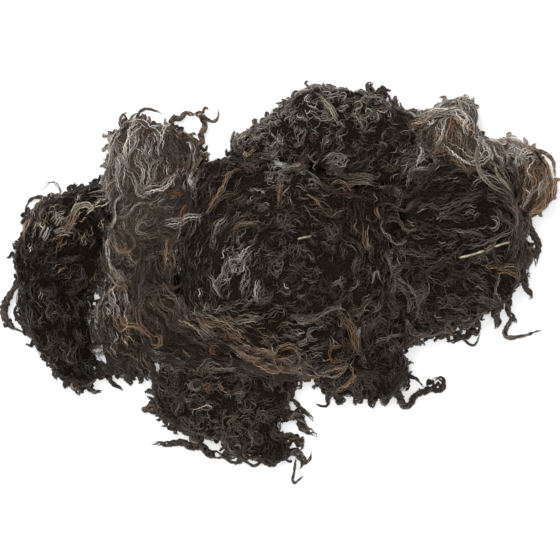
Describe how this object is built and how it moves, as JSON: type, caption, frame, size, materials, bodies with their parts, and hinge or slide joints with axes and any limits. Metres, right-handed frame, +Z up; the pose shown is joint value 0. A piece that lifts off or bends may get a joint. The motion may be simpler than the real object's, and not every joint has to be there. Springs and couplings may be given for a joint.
{
  "type": "heap of curly wool locks",
  "caption": "Loose heap of raw curly fleece locks in dark grey, brown and taupe, with ringlets standing out of its rim.",
  "frame": {"origin": "middle of the heap's outline on the surface it lies on", "axes": "+Z up, +X along the heap's longest extent, +Y towards its far side"},
  "size_m": [0.4153, 0.3021, 0.0707],
  "materials": {
    "pale_upper_left": "raw taupe wool, matt with a slight natural sheen",
    "pale_upper_right": "raw taupe wool, matt with a slight natural sheen",
    "crown": "raw charcoal wool, matt with a slight natural sheen",
    "far_ridge": "raw charcoal wool, matt with a slight natural sheen",
    "brown_far_right": "raw brown wool, matt with a slight natural sheen",
    "right_flank": "raw charcoal wool, matt with a slight natural sheen",
    "left_flank": "raw black wool, matt with a slight natural sheen",
    "brown_roll": "raw brown wool, matt with a slight natural sheen",
    "near_right": "raw charcoal wool, matt with a slight natural sheen",
    "near_middle": "raw charcoal wool, matt with a slight natural sheen",
    "near_left": "raw brown wool, matt with a slight natural sheen"
  },
  "bodies": {
    "root": {"pale_upper_left": "pale_upper_left", "pale_upper_right": "pale_upper_right", "crown": "crown", "far_ridge": "far_ridge", "brown_far_right": "brown_far_right", "right_flank": "right_flank", "left_flank": "left_flank", "brown_roll": "brown_roll", "near_right": "near_right", "near_middle": "near_middle", "near_left": "near_left"}
  },
  "joints": []
}
